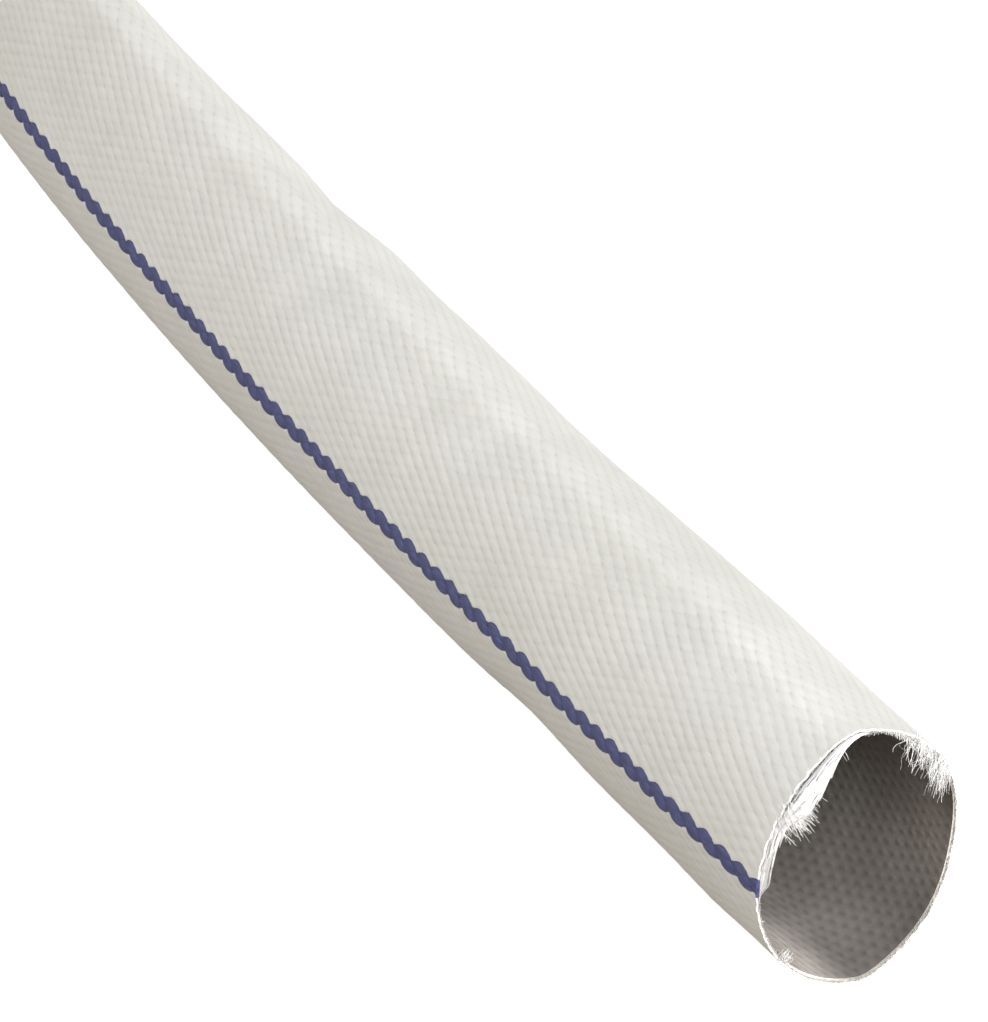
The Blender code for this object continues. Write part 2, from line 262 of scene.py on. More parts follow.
def hose_point(along, run, outwards):
    """World points on the free end, whose wall is crushed thin at the cut; the last axis is x, y, z."""
    along, run, outwards = np.broadcast_arrays(along, run, outwards)
    thinned = np.interp(-outwards, DEPTHS, DEPTHS_AT_CUT) + outwards
    outwards = outwards - thinned * (1 - smooth_step(along, 0.0, THINNED_LENGTH))
    across, up, half_height = outline(along, run % PERIMETER, outwards + unevenness(along, run))
    x, y, heading = (np.interp(along, ROUTE[0], column) for column in ROUTE[1:])
    skew = CUT_SKEW * across * np.clip(1 - along / SKEW_FADES_AT, 0.0, None)
    overhang = np.minimum(along, 0.0)
    x = MOUTH[0] + x - overhang + np.sin(heading) * across + skew
    y = MOUTH[1] + y + np.cos(heading) * across
    return np.stack((x, y, half_height + up), axis=-1)


def mouth_position():
    """World x and y of the mouth's centre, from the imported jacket's box."""
    low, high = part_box("woven_jacket")
    stations = ROUTE[0]
    half_width = -outline(stations, np.full(stations.shape, QUARTER), 0.0)[0]
    lowest = (ROUTE[2] - half_width * np.cos(ROUTE[3])).min()
    return high.x + CUT_SKEW * half_width[0], low.y - lowest


ROUTE = route_table()
MOUTH = mouth_position()


# ---- the roll's spiral


def roll_frame():
    """The roll's centre, the direction from it to the joint with the free end, and the winding direction."""
    heading = ROUTE[3][-1]
    outwards = np.array((-math.sin(heading), -math.cos(heading)))
    joint = np.array((MOUTH[0] + ROUTE[1][-1], MOUTH[1] + ROUTE[2][-1]))
    return joint - outwards * TURN_RADIUS, outwards, np.array((outwards[1], -outwards[0]))


def roll_point(turn, radius, up):
    """World points at this angle on from the joint, the way that the hose winds."""
    turn, radius, up = np.broadcast_arrays(turn, radius, up)
    centre, outwards, onwards = roll_frame()
    spoke = np.cos(turn)[..., None] * outwards + np.sin(turn)[..., None] * onwards
    return np.concatenate((centre + spoke * radius[..., None], up[..., None]), axis=-1)


def outer_radius(turn):
    """The radius of the wound hose's outer face at this angle."""
    return ROLL_RADIUS - ROLL_PITCH * turn / (2 * PI)


# ---- meshes


def add_object(name, data):
    """A new object in the scene, with this mesh, lamp or camera."""
    item = bpy.data.objects.new(name, data)
    bpy.context.scene.collection.objects.link(item)
    return item


def make_piece(name, points, quads, materials, caps=(), face_materials=None, weave=None):
    """A mesh piece riding on the part, from an array of points, one of quads and a list of end caps."""
    points = points.reshape(-1, 3)
    a, b, c, d = (points[quads[:, i]] for i in range(4))
    volume = (np.cross(a, b) * c).sum() + (np.cross(a, c) * d).sum()
    if volume < 0:
        quads = quads[:, ::-1]
        caps = [cap[::-1] for cap in caps]
        weave = None if weave is None else weave[:, ::-1]
    sizes = [len(cap) for cap in caps]
    loops = np.concatenate([quads.ravel(), *caps]).astype(np.int32)
    starts = np.concatenate(([0], np.cumsum([4] * len(quads) + sizes)[:-1]))
    mesh = bpy.data.meshes.new(name)
    mesh.vertices.add(len(points))
    mesh.vertices.foreach_set("co", points.astype(np.float32).ravel())
    mesh.loops.add(len(loops))
    mesh.loops.foreach_set("vertex_index", loops)
    mesh.polygons.add(len(starts))
    mesh.polygons.foreach_set("loop_start", starts.astype(np.int32))
    if face_materials is not None:
        mesh.polygons.foreach_set("material_index", face_materials.astype(np.int32))
    mesh.update(calc_edges=True)
    if weave is not None:
        attribute = mesh.attributes.new("weave", "FLOAT_VECTOR", "CORNER")
        filled = np.zeros((len(loops), 3), np.float32)
        filled[: 4 * len(quads)] = weave.reshape(-1, 3)
        attribute.data.foreach_set("vector", filled.ravel())
    mesh.shade_smooth()
    mesh.set_sharp_from_angle(angle=math.radians(62))
    for material in materials:
        mesh.materials.append(material)
    piece = add_object(name, mesh)
    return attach(piece, "root")


def grid_corners(rows, columns, rows_close):
    """Row and column numbers of each quad's four corners; the last column counts on past the ring's end."""
    row = np.arange(rows if rows_close else rows - 1)[:, None]
    column = np.arange(columns)[None, :]
    following = (row + 1) % rows
    corners = ((row, column), (row, column + 1), (following, column + 1), (following, column))
    return [np.broadcast_arrays(*corner) for corner in corners]


def grid_quads(rows, columns, rows_close=False):
    """Quads between rows of points, each row a closed ring; rows_close joins the last row to the first."""
    corners = grid_corners(rows, columns, rows_close)
    return np.stack([row * columns + column % columns for row, column in corners], axis=-1).reshape(-1, 4)


def grid_weave(row_picks, column_ends, row_extra, rows_close=False):
    """The weave coordinates (ends, picks, extra) at each quad's corners; column_ends has one value more."""
    corners = grid_corners(len(row_picks), len(column_ends) - 1, rows_close)
    weave = [np.stack((column_ends[c], row_picks[r], row_extra[r]), axis=-1) for r, c in corners]
    return np.stack(weave, axis=2).reshape(-1, 4, 3)


def tube_faces(tubes, rings, sides):
    """Quads and end caps of closed tubes that follow one another, each of this many rings of points."""
    first = np.arange(tubes)[:, None] * rings * sides
    quads = (grid_quads(rings, sides) + first[..., None]).reshape(-1, 4)
    start = first + np.arange(sides)[::-1]
    end = first + (rings - 1) * sides + np.arange(sides)
    return quads, [*start, *end]


def unit(vectors):
    return vectors / np.linalg.norm(vectors, axis=-1, keepdims=True)


def tube_bundle(paths, radii, sides):
    """Points, quads and end caps of closed round tubes along many paths: paths is (tubes, points, 3)."""
    tangent = unit(np.gradient(paths, axis=1))
    reference = np.where(np.abs(tangent[:, :1, 2:]) < 0.8, (0.0, 0.0, 1.0), (1.0, 0.0, 0.0))
    normal = unit(np.cross(tangent, reference))
    binormal = np.cross(tangent, normal)
    turn = (np.arange(sides) + 0.5) * 2 * PI / sides
    ring = np.cos(turn)[:, None] * normal[:, :, None] + np.sin(turn)[:, None] * binormal[:, :, None]
    points = paths[:, :, None] + ring * radii[:, :, None, None]
    return points, *tube_faces(*radii.shape, sides)


# ---- node materials


class Nodes:
    """A material with a Principled shader, and short ways to add nodes to it."""

    def __init__(self, name, **settings):
        self.material = bpy.data.materials.new(name)
        self.material.use_nodes = True
        self.tree = self.material.node_tree
        self.shader = self.tree.nodes["Principled BSDF"]
        for key, value in settings.items():
            self.shader.inputs[key.replace("_", " ")].default_value = value

    def add(self, kind, inputs=None, **settings):
        node = self.tree.nodes.new("ShaderNode" + kind)
        for key, value in settings.items():
            setattr(node, key, value)
        for key, value in (inputs or {}).items():
            self.join(value, node.inputs[key])
        return node

    def join(self, value, socket):
        if isinstance(value, bpy.types.NodeSocket):
            self.tree.links.new(value, socket)
        else:
            socket.default_value = value

    def math(self, operation, *values):
        return self.add("Math", dict(enumerate(values)), operation=operation).outputs[0]

    def noise(self, scale, detail=3.0, roughness=0.55, vector=None):
        if vector is None:
            vector = self.add("TexCoord").outputs["Object"]
        inputs = {"Vector": vector, "Scale": scale, "Detail": detail, "Roughness": roughness}
        return self.add("TexNoise", inputs).outputs[0]

    def ramp(self, value, *stops):
        """A colour ramp through (position, colour) stops; a plain number is a grey."""
        node = self.add("ValToRGB", {"Fac": value})
        elements = node.color_ramp.elements
        while len(elements) < len(stops):
            elements.new(0.5)
        for element, (position, colour) in zip(elements, stops):
            element.position = position
            element.color = (*((colour,) * 3 if isinstance(colour, float) else colour), 1.0)
        return node.outputs[0]

    def multiply(self, factor, first, second):
        """The first colour, multiplied by the second as far as this factor says."""
        node = self.add("Mix", {0: factor, 6: first, 7: second}, data_type="RGBA", blend_type="MULTIPLY")
        return node.outputs[2]

    def bump(self, height, distance, strength, normal=None):
        node = self.add("Bump", {"Height": height, "Distance": distance, "Strength": strength})
        if normal is not None:
            self.join(normal, node.inputs["Normal"])
        return node.outputs[0]

    def finish(self, colour, roughness, normal=None):
        self.join(colour, self.shader.inputs["Base Color"])
        self.join(roughness, self.shader.inputs["Roughness"])
        if normal is not None:
            self.join(normal, self.shader.inputs["Normal"])
        return self.material


def weave_places(nodes):
    """Sockets of the mesh's weave: warp ends from the tracer, picks from the cut, and the bump's strength."""
    attribute = nodes.add("Attribute", attribute_name="weave")
    return nodes.add("SeparateXYZ", {"Vector": attribute.outputs["Vector"]}).outputs


def weave_sockets(nodes):
    """Sockets of the weave pattern, as in weave_height, and of the places that it depends on."""
    ends, picks, extra = weave_places(nodes)
    across = nodes.math("SUBTRACT", ends, 0.5)
    cells, rises = [], []
    for operation in ("ADD", "SUBTRACT"):
        share = nodes.math("MULTIPLY", nodes.math(operation, across, picks), 0.5)
        cells.append(nodes.math("ROUND", share))
        inside = nodes.math("MULTIPLY", nodes.math("SUBTRACT", share, cells[-1]), 2.0)
        rises.append(nodes.math("SUBTRACT", 1.0, nodes.math("MULTIPLY", inside, inside)))
    height = nodes.math("MULTIPLY_ADD", rises[0], 0.35, nodes.math("MULTIPLY", rises[1], 0.65))
    stretched = {0: nodes.math("MULTIPLY", ends, 9.0), 1: nodes.math("MULTIPLY", picks, 0.8)}
    streaks = nodes.noise(1.0, 4.0, 0.6, nodes.add("CombineXYZ", stretched).outputs[0])
    each_float = nodes.add("CombineXYZ", {0: cells[0], 1: cells[1]}).outputs[0]
    tone = nodes.add("TexWhiteNoise", {"Vector": each_float})
    return {
        "height": height,
        "streaks": streaks,
        "extra": extra,
        "tone": tone.outputs[0],
        "way_round": nodes.math("FRACT", nodes.math("DIVIDE", ends, float(WARP_ENDS))),
        "picks": picks,
    }


def polyester_material():
    """Undyed woven polyester: warm white floats, greyer grooves between them (painted shade), filament
    streaks, and paler bands of painted light above the tracer and along the ridge.
    """
    nodes = Nodes("woven_polyester", Specular_IOR_Level=0.35, Sheen_Weight=0.15, Sheen_Roughness=0.5)
    weave = weave_sockets(nodes)
    # Greyer in the grooves between the floats: a painted shade in the cloth's recesses.
    base = nodes.ramp(
        weave["height"],
        (0.1, (0.65, 0.636, 0.583)),
        (0.4, (0.725, 0.717, 0.674)),
        (1.0, (0.755, 0.75, 0.71)),
    )
    streaked = nodes.multiply(0.35, base, nodes.ramp(weave["streaks"], (0.3, 0.62), (0.7, 1.0)))
    toned = nodes.multiply(0.10, streaked, nodes.ramp(weave["tone"], (0.0, 0.6), (1.0, 1.0)))
    patches = nodes.ramp(nodes.noise(38.0), (0.35, (0.90, 0.895, 0.87)), (0.7, 1.0))
    colour = nodes.multiply(0.5, toned, patches)
    # Paler bands above the tracer and along the ridge and top: painted light on the lower front and a painted
    # highlight on the ridge.
    by_tracer = ((0.0, 0.85), (0.045, 0.70), (0.115, 0.0))
    on_ridge = ((0.188, 0.0), (0.208, 1.0), (0.245, 0.85), (0.310, 0.0))
    painted_light_bands = nodes.ramp(weave["way_round"], *by_tracer, *on_ridge)
    colour = nodes.multiply(1.0, colour, nodes.math("MULTIPLY_ADD", painted_light_bands, 0.055, 1.0))
    coarse = nodes.bump(weave["height"], 0.00030, nodes.math("MULTIPLY", weave["extra"], 0.8))
    normal = nodes.bump(weave["streaks"], 0.00012, 0.35, coarse)
    roughness = nodes.math("MULTIPLY_ADD", weave["streaks"], 0.25, 0.62)
    return nodes.finish(colour, roughness, normal)


def cut_material():
    """The cut ends of the jacket's yarns: duller and browner than its face, with a dot for each end and
    painted shade between the ends.
    """
    nodes = Nodes("cut_yarns", Specular_IOR_Level=0.3)
    # Darker between the yarn ends: painted shade in the gaps.
    beside = nodes.math("PINGPONG", weave_places(nodes)[0], 0.5)
    base = nodes.ramp(beside, (0.1, (0.36, 0.34, 0.29)), (0.4, (0.58, 0.56, 0.50)))
    grime = nodes.ramp(nodes.noise(1400.0, 4.0), (0.3, 0.6), (0.7, 1.0))
    return nodes.finish(nodes.multiply(0.7, base, grime), 0.9)


def lining_material():
    """Thin grey-brown rubber film, printed through by the weave with a faint painted shade in its pits, with
    dusty patches and painted light near the cut.
    """
    nodes = Nodes("lining_rubber", Specular_IOR_Level=0.45)
    weave = weave_sockets(nodes)
    pits = nodes.math("POWER", weave["height"], 5.0)
    # A little darker in the printed pits: a faint painted shade.
    base = nodes.ramp(pits, (0.0, (0.272, 0.250, 0.230)), (1.0, (0.252, 0.231, 0.212)))
    dusty = nodes.ramp(nodes.noise(60.0, 5.0), (0.4, 0.82), (0.75, (1.12, 1.13, 1.15)))
    colour = nodes.multiply(1.0, base, dusty)
    # Painted light: the lining is made paler near the cut, where little lamp light reaches inside the mouth.
    colour = nodes.multiply(1.0, colour, painted_light_near_cut(nodes, weave))
    normal = nodes.bump(nodes.noise(900.0, 2.0), 0.0001, 0.25, nodes.bump(pits, -0.0002, 0.3))
    roughness = nodes.ramp(nodes.noise(120.0), (0.3, 0.42), (0.7, 0.62))
    return nodes.finish(colour, roughness, normal)


def painted_light_near_cut(nodes, weave):
    """How much the lining is brightened by painted light: near the cut, on both sides of the bottom."""
    inner_side = ((0.44, 0.0), (0.531, 0.5), (0.64, 0.0))
    outer_side = ((0.735, 0.0), (0.815, 1.0), (0.90, 0.0))
    sides = nodes.ramp(weave["way_round"], *inner_side, *outer_side)
    depth = nodes.math("MULTIPLY", weave["picks"], 0.1)
    near = nodes.ramp(depth, (0.13, 1.0), (0.92, 0.0))
    for socket in (sides, near):
        socket.node.color_ramp.interpolation = "EASE"
    # Painted light near the cut, on both sides of the bottom.
    painted_brightening = nodes.math("MULTIPLY", sides, near)
    return nodes.math("MULTIPLY_ADD", painted_brightening, 2.3, 1.0)


def tracer_material():
    """Navy yarn with lighter filament streaks, darkened by painted shade away from each float's crown."""
    nodes = Nodes("blue_yarn", Specular_IOR_Level=0.4, Sheen_Weight=0.2)
    weave = weave_sockets(nodes)
    base = nodes.ramp(
        weave["streaks"],
        (0.3, (0.026, 0.031, 0.115)),
        (0.55, (0.047, 0.056, 0.185)),
        (0.75, (0.085, 0.102, 0.27)),
    )
    # Darker where the weave's relief is low: painted shade on the floats.
    painted_float_shading = nodes.ramp(weave["height"], (0.0, (0.75, 0.75, 0.8)), (1.0, 1.0))
    colour = nodes.multiply(1.0, base, painted_float_shading)
    roughness = nodes.math("MULTIPLY_ADD", weave["streaks"], 0.3, 0.5)
    return nodes.finish(colour, roughness, nodes.bump(weave["streaks"], 0.0001, 0.5))


def fray_material():
    """Loose polyester filaments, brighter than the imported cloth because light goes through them."""
    nodes = Nodes("loose_filaments", Specular_IOR_Level=0.4)
    spots = nodes.noise(700.0, 2.0)
    colour = nodes.ramp(spots, (0.3, (0.58, 0.57, 0.56)), (0.6, (0.72, 0.715, 0.71)))
    return nodes.finish(colour, nodes.math("MULTIPLY_ADD", spots, 0.3, 0.4))


def lock_material():
    """The lock's dark core under the loose filaments: fine streaks along the lock, and a dark tone that is
    painted shade for the gaps between the tows.
    """
    nodes = Nodes("lock_core_painted_shade", Specular_IOR_Level=0.4)
    weave = weave_sockets(nodes)
    # Dark grey: painted shade that shows through the gaps between the tows.
    colour = nodes.ramp(
        weave["streaks"],
        (0.35, (0.22, 0.215, 0.21)),
        (0.5, (0.38, 0.375, 0.37)),
        (0.68, (0.52, 0.515, 0.51)),
    )
    return nodes.finish(colour, 0.6, nodes.bump(weave["streaks"], 0.0002, 0.8))


def nylon_material():
    """Natural nylon: slightly translucent, faint flow marks and scuffs."""
    nodes = Nodes("nylon", Subsurface_Weight=0.25, Subsurface_Scale=0.001, Specular_IOR_Level=0.5)
    marks = nodes.noise(260.0, 4.0)
    colour = nodes.ramp(marks, (0.3, (0.66, 0.64, 0.57)), (0.7, (0.78, 0.765, 0.70)))
    roughness = nodes.ramp(nodes.noise(90.0, 5.0), (0.35, 0.28), (0.7, 0.48))
    return nodes.finish(colour, roughness, nodes.bump(marks, 0.00008, 0.3))


def floor_material():
    """The pale floor that shows: nearly white, so that only a faint shadow is left under the hose."""
    nodes = Nodes("pale_floor", Emission_Color=(1.0, 1.0, 1.0, 1.0), Emission_Strength=0.93)
    tone = nodes.ramp(nodes.noise(2.0, 2.0), (0.3, 0.17), (0.7, 0.18))
    return nodes.finish(tone, 0.9)


def bounce_material():
    """The floor as it lights the hose from below: a warm pale grey."""
    nodes = Nodes("floor_bounce")
    tone = nodes.ramp(nodes.noise(2.0, 2.0), (0.3, (0.20, 0.15, 0.09)), (0.7, (0.22, 0.17, 0.11)))
    return nodes.finish(tone, 1.0)


# ---- the cloth's surface


def float_cell(ends, picks):
    """Where a place lies in its warp float: two diagonal shares from -1 to 1, and the float's two numbers."""
    across = ends - 0.5
    first, second = (across + picks) / 2, (across - picks) / 2
    return 2 * (first - np.round(first)), 2 * (second - np.round(second)), np.round(first), np.round(second)


def warped(ends, picks):
    """Picks and ends that wander a little, as a loom leaves them."""
    turns = 2 * PI * ends / WARP_ENDS
    sway = 0.10 * np.sin(5 * turns + picks / 3.1) + 0.07 * np.sin(9 * turns - picks / 5.3)
    return ends + 0.06 * np.sin(picks / 2.3 + 7 * turns), picks + sway


def float_spread(first, second):
    """A fixed pseudo-random number from -1 to 1 for each float."""
    return 2 * ((np.sin(first * 12.9898 + second * 78.233) * 43758.5453) % 1.0) - 1


def weave_height(ends, picks):
    """The cloth's height above the outline: a pillow for each warp float, with grooves and pits between."""
    one_way, other_way, first, second = float_cell(*warped(ends, picks))
    height = -FIRST_GROOVE * np.abs(one_way) ** GROOVE_POWER
    height = height - SECOND_GROOVE * np.abs(other_way) ** GROOVE_POWER
    share = (TRACER_AT + ends * END_WIDTH) / PERIMETER % 1.0
    back = smooth_step(share, *BACK_STARTS) * (1 - smooth_step(share, *BACK_ENDS))
    height = height * (1 - BACK_SMOOTHED * back)
    number = (first + second) % WARP_ENDS
    tracer = (number == 0) | (number == WARP_ENDS - 1)
    return np.where(tracer, -TRACER_BED, height + FLOAT_SPREAD * float_spread(first, second))


def lining_pits(ends, picks):
    """The lining's small pits, one for each place where the cloth's weft shows through it."""
    one_way, other_way = float_cell(*warped(ends, picks))[:2]
    return PIT_DEPTH * np.exp(-(one_way**2 + other_way**2) / PIT_SPREAD)


def cut_edge(column_ends):
    """How far each column of the jacket reaches past the nominal cut: yarn by yarn, a little ragged."""
    rng = np.random.default_rng(21)
    reach = rng.uniform(-0.00010, 0.00022, WARP_ENDS + 1)
    index = np.floor(column_ends).astype(int) % WARP_ENDS
    return reach[index] + rng.uniform(-0.00005, 0.00005, len(column_ends))


def jacket_columns():
    """Warp coordinates of the columns, from the tracer's middle right round to it, and each column's run."""
    ends = np.arange(WARP_ENDS * COLUMNS_PER_END + 1) / COLUMNS_PER_END
    return ends, TRACER_AT + ends[:-1] * END_WIDTH


def make_jacket(materials):
    """The jacket of the free end: a woven skin, a ragged cut edge and a plain inside."""
    ends, runs = jacket_columns()
    fine = np.arange(0.0, WOVEN_LENGTH, PICK / ROWS_PER_PICK)
    coarse = np.linspace(WOVEN_LENGTH, FREE_LENGTH, 81)
    along = np.concatenate((fine, coarse))[:, None]
    woven = 1 - smooth_step(along, WOVEN_LENGTH - WOVEN_FADE, WOVEN_LENGTH)
    height = weave_height(ends[:-1], along / PICK) * woven + MEAN_HEIGHT * (1 - woven)
    past_cut = cut_edge(ends[:-1])
    outer = hose_point(along - past_cut * np.clip(1 - along / CUT_FRAYS, 0.0, 1.0), runs, height)
    rng = np.random.default_rng(22)
    edge = []
    for depth, forward in CUT_ROWS:
        ragged = forward + past_cut + rng.uniform(-0.00008, 0.00008, len(runs))
        edge.append(hose_point(-ragged, runs, -depth))
    inside = np.concatenate((np.linspace(0.0, 0.06, 21), np.linspace(0.075, FREE_LENGTH, 40)))[:, None]
    inner = hose_point(inside, runs, -JACKET_WALL)
    points = np.concatenate((outer[::-1], np.array(edge), inner))
    picks = np.concatenate((along[::-1, 0], np.zeros(len(edge)), inside[:, 0])) / PICK
    extra = np.concatenate((1 - woven[::-1, 0], np.zeros(len(edge)), np.ones(len(inside))))
    kinds = np.zeros((len(points), len(runs)))
    kinds[len(outer) : len(outer) + len(edge)] = 1
    quads = grid_quads(len(points), len(runs), rows_close=True)
    weave = grid_weave(picks, ends, extra, rows_close=True)
    return make_piece("jacket_free_end", points, quads, materials, face_materials=kinds.ravel(), weave=weave)


def make_lining(materials):
    """The lining of the free end, with the weave printed through it near the mouth."""
    ends, runs = jacket_columns()
    first, last = LINING_INSET, FREE_LENGTH - 0.0005
    fine = np.arange(first, PRINTED_LENGTH, PICK / ROWS_PER_PICK)
    along = np.concatenate((fine, np.linspace(PRINTED_LENGTH + 0.004, last, 110)))[:, None]
    fade = 1 - smooth_step(along, PRINTED_LENGTH - PRINTED_FADE, PRINTED_LENGTH)
    inner = hose_point(along, runs, -WALL + lining_pits(ends[:-1], along / PICK) * fade)
    outside = np.concatenate((np.linspace(first, THINNED_LENGTH, 6), np.linspace(0.045, last, 38)))[:, None]
    outer = hose_point(outside, runs, -JACKET_WALL - FILM_GAP)
    points = np.concatenate((outer[::-1], inner))
    picks = np.concatenate((outside[::-1, 0], along[:, 0])) / PICK
    extra = np.concatenate((np.ones(len(outside)), 1 - fade[:, 0]))
    quads = grid_quads(len(points), len(runs), rows_close=True)
    weave = grid_weave(picks, ends, extra, rows_close=True)
    return make_piece("lining_free_end", points, quads, materials, weave=weave)


# ---- the tracer

TRACER_SIDES = 10
TRACER_PROUD = 0.00021
TRACER_HALF_HEIGHT = 0.00027
TRACER_HALF_WIDTH = 0.00125
TRACER_DIVE = 0.00036
TRACER_NARROWEST = 0.50
TRACER_WIDENING = 0.65
TRACER_ROUNDING = 0.8

# The two yarns' floats are each this many picks, one each way, off an even alternation.
TRACER_LAG = 0.2


def make_tracer(name, along, point, materials):
    """The two tracer yarns of this stretch: broad where they float, narrow and deep where they dive."""
    turn = 2 * PI * np.arange(TRACER_SIDES) / TRACER_SIDES
    circle = np.array((np.cos(turn), np.sin(turn)))
    across, up = np.sign(circle) * np.abs(circle) ** TRACER_ROUNDING
    yarns, weave = [], []
    for index in (-1, 0):
        ends, picks = warped(index + 0.5, along / PICK)
        picks = picks + TRACER_LAG * (2 * index + 1)
        dive = np.abs((picks - index + 1) % 2 - 1)[:, None]
        widened = TRACER_NARROWEST + (1 - TRACER_NARROWEST) * (1 - dive) ** TRACER_WIDENING
        run = TRACER_AT + END_WIDTH * ends[:, None] + TRACER_HALF_WIDTH * widened * across
        middle = TRACER_PROUD - TRACER_DIVE * dive**3 - TRACER_HALF_HEIGHT
        yarns.append(point(run, middle + TRACER_HALF_HEIGHT * up))
        column_ends = index + np.linspace(0.02, 0.98, TRACER_SIDES + 1)
        weave.append(grid_weave(along / PICK, column_ends, np.zeros(len(along))))
    quads, caps = tube_faces(len(yarns), len(along), TRACER_SIDES)
    return make_piece(name, np.array(yarns), quads, materials, caps, weave=np.concatenate(weave))


def make_free_tracer(materials):
    """The tracer on the free end, which starts just proud of the cut."""
    along = np.arange(-0.0004, FREE_LENGTH, PICK / ROWS_PER_PICK)

    def point(run, outwards):
        return hose_point(along[:, None], run, outwards)

    return make_tracer("tracer_free_end", along, point, materials)


def make_roll_tracer(materials):
    """The tracer on the roll's outer turn."""
    last = 2 * PI * (ROLL_SIDES - 2) / ROLL_SIDES
    along = np.arange(FREE_LENGTH, FREE_LENGTH + last * ROLL_RADIUS, PICK / ROWS_PER_PICK)
    turn = ((along - FREE_LENGTH) / TURN_RADIUS)[:, None]

    def point(run, outwards):
        run, outwards = np.broadcast_arrays(run, outwards)
        across, up, half_height = outline(np.full(run.shape, FREE_LENGTH), run, outwards)
        radius = outer_radius(turn) - FLAT_HALF_THICKNESS - across
        return roll_point(turn, radius, half_height + up)

    return make_tracer("tracer_on_roll", along, point, materials)


# ---- the roll


TIE_STATIONS = (-0.009, -0.006, -0.004, -0.0027, 0, 0.0027, 0.004, 0.006, 0.009)
TIE_STATIONS_REACH = 0.0095
PINCH_STARTS = 0.0027
PINCH_ENDS = 0.0085
PINCH_ON_TOP = 0.00105
PINCH_BELOW = 0.00178
SLIT = -WALL + 0.00002

# (outwards, how far back, how far along the cloth) of the rings that close the wound hose's inner end.
INNER_END = ((-JACKET_WALL, 0.0, 0.0012), (SLIT, 0.0, 0.002), (SLIT, 0.008, 0.01))


def roll_turns():
    """The angles of the roll's stations: even steps, and close ones beside each tie."""
    even = np.linspace(0.0, 2 * PI * ROLL_TURNS, ROLL_TURNS * 96 + 1)
    ties = (2 * PI * np.arange(ROLL_TURNS)[:, None] + np.radians(TIE_ANGLES)).ravel()
    beside = ties + np.array(TIE_STATIONS)[:, None] / outer_radius(ties)
    clear = np.abs(even[:, None] - ties).min(axis=1) > TIE_STATIONS_REACH / outer_radius(even)
    return np.sort(np.concatenate((even[clear], beside.ravel())))


def pinch(turn, radius):
    """How much a tie presses the roll's edges at this place, from 0 to 1."""
    pressed = np.zeros_like(turn)
    for tie in TIE_ANGLES:
        beside = (turn - math.radians(tie) + PI) % (2 * PI) - PI
        away = np.abs(beside) * radius
        pressed = np.maximum(pressed, 1 - smooth_step(away, PINCH_STARTS, PINCH_ENDS))
    return pressed


def flat_runs():
    """Places round the flat outline: close together on the creases."""
    crease_length = section(np.array(FREE_LENGTH))[2]
    quarter = np.concatenate((np.linspace(0, crease_length, 5)[:-1], np.linspace(crease_length, QUARTER, 4)))
    half = np.concatenate((quarter, 2 * QUARTER - quarter[-2::-1]))
    return np.concatenate((half[:-1], half + 2 * QUARTER))


def make_roll(materials):
    """The wound hose: one flat tube along the whole spiral, its inner end cut square in the core."""
    runs = flat_runs()
    skin = roll_turns()
    outwards, recess, further = np.concatenate(([(MEAN_HEIGHT, 0.0, 0.0)] * len(skin), INNER_END)).T
    turn = np.append(skin, [skin[-1]] * len(INNER_END))
    along = FREE_LENGTH + ROLL_RADIUS * turn - ROLL_PITCH * turn**2 / (4 * PI) + further
    wobble = 0.00035 * np.sin(1.37 * turn + 0.5) + 0.00025 * np.sin(3.13 * turn) + 0.0005
    lift = wobble * smooth_step(turn, 0.0, 2.5)
    sway = 0.00010 * np.sin(2.71 * turn) * smooth_step(turn, 0.0, 2.0)
    turn = (turn - recess / CORE_RADIUS)[:, None]
    flat = np.full((len(turn), len(runs) - 1), FREE_LENGTH)
    across, up, half_height = outline(flat, runs[:-1] % PERIMETER, outwards[:, None])
    radius = outer_radius(turn) - FLAT_HALF_THICKNESS + sway[:, None] - across
    height = half_height + up + lift[:, None]
    pressed = pinch(turn, radius)
    bottom = PINCH_BELOW * pressed
    top = np.maximum(FLAT_HEIGHT - PINCH_ON_TOP * pressed, bottom)
    height = np.where(pressed > 0, np.clip(height, bottom, top), height)
    quads, caps = tube_faces(1, *flat.shape)
    kinds = np.zeros(len(quads) + len(caps))
    kinds[len(skin) * flat.shape[1] : -2] = 1
    kinds[-1] = 1
    weave = grid_weave(along / PICK, (runs - TRACER_AT) / END_WIDTH, np.ones(len(along)))
    points = roll_point(turn, radius, height)
    return make_piece("hose_on_roll", points, quads, materials, caps, face_materials=kinds, weave=weave)


# ---- the frayed mouth


LOCK_LEAN = 0.5


def pad_size(share):
    """(half width, half height, depth, forward) of the lock of loose filaments along the cut edge."""
    wide = smooth_step(share, 0.345, 0.395) * (1 - smooth_step(share, 0.395, 0.515))
    edge = smooth_step(share, 0.255, 0.275) * (1 - smooth_step(share, 0.50, 0.525))
    low = edge * (1 - smooth_step(share, 0.34, 0.39))
    half_width = 0.00008 + 0.00040 * edge + 0.00045 * low + 0.00125 * wide
    half_height = 0.00008 + 0.00027 * edge + 0.00040 * wide
    return half_width, half_height, 0.0004 + 0.0005 * low + 0.0011 * wide, 0.0003 + 0.0011 * wide


